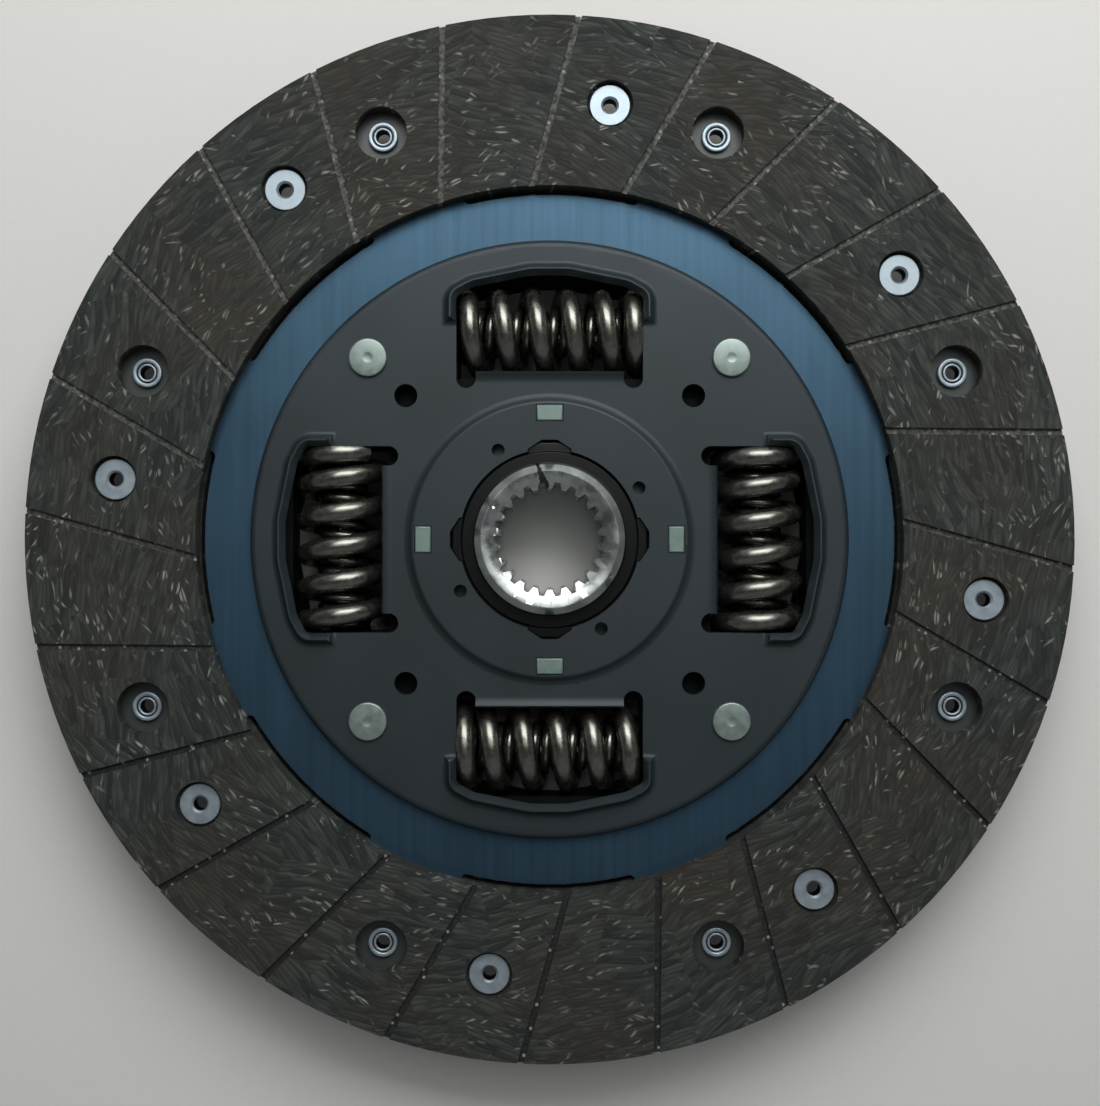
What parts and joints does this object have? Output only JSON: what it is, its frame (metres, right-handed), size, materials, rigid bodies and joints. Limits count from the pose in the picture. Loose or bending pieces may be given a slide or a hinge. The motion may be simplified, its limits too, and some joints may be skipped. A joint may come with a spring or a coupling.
{
  "type": "clutch disc",
  "caption": "Torsion-damped clutch disc: splined hub turning against coil springs in a riveted carrier with grooved friction facings on both sides.",
  "frame": {"origin": "on the shaft's axis, in the middle plane of the cushion disc between the facings", "axes": "+Z along the shaft's axis, out of the face with the thrust washer's lugs; +Y through the middle of the first damper spring, +X through the fourth"},
  "size_m": [0.225, 0.225, 0.0265],
  "materials": {
    "machined_steel": "turned bright, with a fine bevel at its end",
    "pressed_steel": "pressed and heat-treated, dark blue-grey",
    "blued_spring_steel": "tempered spring steel, steel blue",
    "friction_facing": "pressed woven friction material, matt, with short pale fibres",
    "plated_rivet_steel": "zinc plated, satin",
    "plated_pin_steel": "pale plated steel, riveted over",
    "bush_plastic": "moulded, black",
    "friction_washer_plastic": "moulded friction material",
    "plated_washer_steel": "plated, pale grey-green",
    "spring_washer_steel": "hardened spring steel",
    "spring_wire": "oil-tempered wire, dark brown-black, glossy"
  },
  "bodies": {
    "disc": {"front_retaining_plate": "pressed_steel", "rear_retaining_plate": "pressed_steel", "cushion_disc": "blued_spring_steel", "front_facing": "friction_facing", "rear_facing": "friction_facing", "front_facing_rivets": "plated_rivet_steel", "rear_facing_rivets": "plated_rivet_steel", "stop_pins": "plated_pin_steel", "front_hub_bush": "bush_plastic", "rear_hub_bush": "bush_plastic", "front_friction_washer": "friction_washer_plastic", "rear_friction_washer": "friction_washer_plastic", "lugged_thrust_washer": "plated_washer_steel", "cone_spring_washer": "spring_washer_steel"},
    "hub": {"hub": "machined_steel"},
    "springs": {"outer_spring_1": "spring_wire", "outer_spring_2": "spring_wire", "outer_spring_3": "spring_wire", "outer_spring_4": "spring_wire", "inner_spring_1": "spring_wire", "inner_spring_2": "spring_wire", "inner_spring_3": "spring_wire", "inner_spring_4": "spring_wire"}
  },
  "joints": [
    {"name": "hub_twist", "type": "hinge", "parent": "disc", "child": "hub", "pos_m": [0, 0, 0], "axis": [0, 0, 1], "range_deg": [-7, 9], "stiffness_Nm_per_rad": 40, "deforming": ["outer_spring_1", "outer_spring_2", "outer_spring_3", "outer_spring_4", "inner_spring_1", "inner_spring_2", "inner_spring_3", "inner_spring_4"]},
    {"name": "spring_follow", "type": "hinge", "parent": "disc", "child": "springs", "pos_m": [0, 0, 0], "axis": [0, 0, 1], "range_deg": [-3.5, 4.5]}
  ],
  "couplings": [
    {"joint": "spring_follow", "follows": "hub_twist", "ratio": 0.5}
  ]
}
